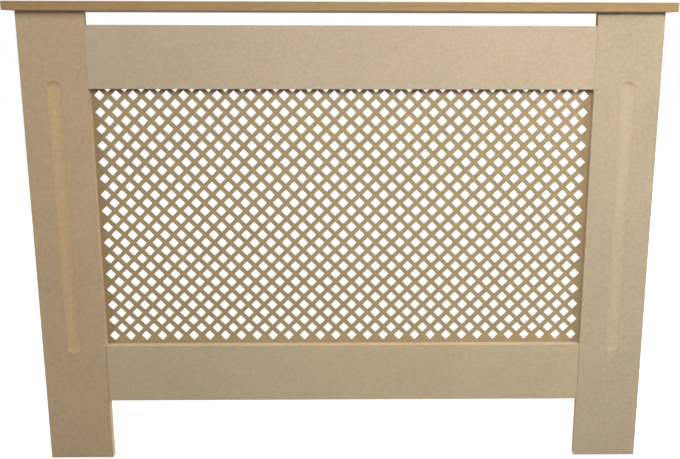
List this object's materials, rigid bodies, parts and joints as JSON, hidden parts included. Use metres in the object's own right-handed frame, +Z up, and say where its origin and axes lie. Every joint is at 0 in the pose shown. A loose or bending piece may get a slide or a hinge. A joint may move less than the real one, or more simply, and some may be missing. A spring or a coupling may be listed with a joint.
{
  "type": "radiator cover cabinet",
  "caption": "Radiator cover cabinet in plain fibreboard: shelf on side panels, fluted legs and rails framing a pierced diamond grille, open back.",
  "frame": {"origin": "on the floor, under the middle of the shelf", "axes": "+X along the cabinet to the right as seen from the front, +Y from the front to the wall, +Z up"},
  "size_m": [1.115, 0.19, 0.815],
  "materials": {
    "board": "unfinished medium-density fibreboard, matt",
    "pierced_sheet": "unfinished thin fibreboard, matt, browner than the boards",
    "tongue": "bare hardboard",
    "batten": "planed pine, bare",
    "plated_steel": "zinc-plated"
  },
  "bodies": {
    "root": {"top_shelf": "board", "left_side_panel": "board", "right_side_panel": "board", "left_stile": "board", "right_stile": "board", "upper_rail": "board", "lower_rail": "board", "upper_rail_tongues": "tongue", "lower_rail_tongues": "tongue", "grille_panel": "pierced_sheet", "left_corner_batten": "batten", "right_corner_batten": "batten", "left_shelf_batten": "batten", "right_shelf_batten": "batten", "left_wall_bracket": "plated_steel", "right_wall_bracket": "plated_steel"}
  },
  "joints": []
}
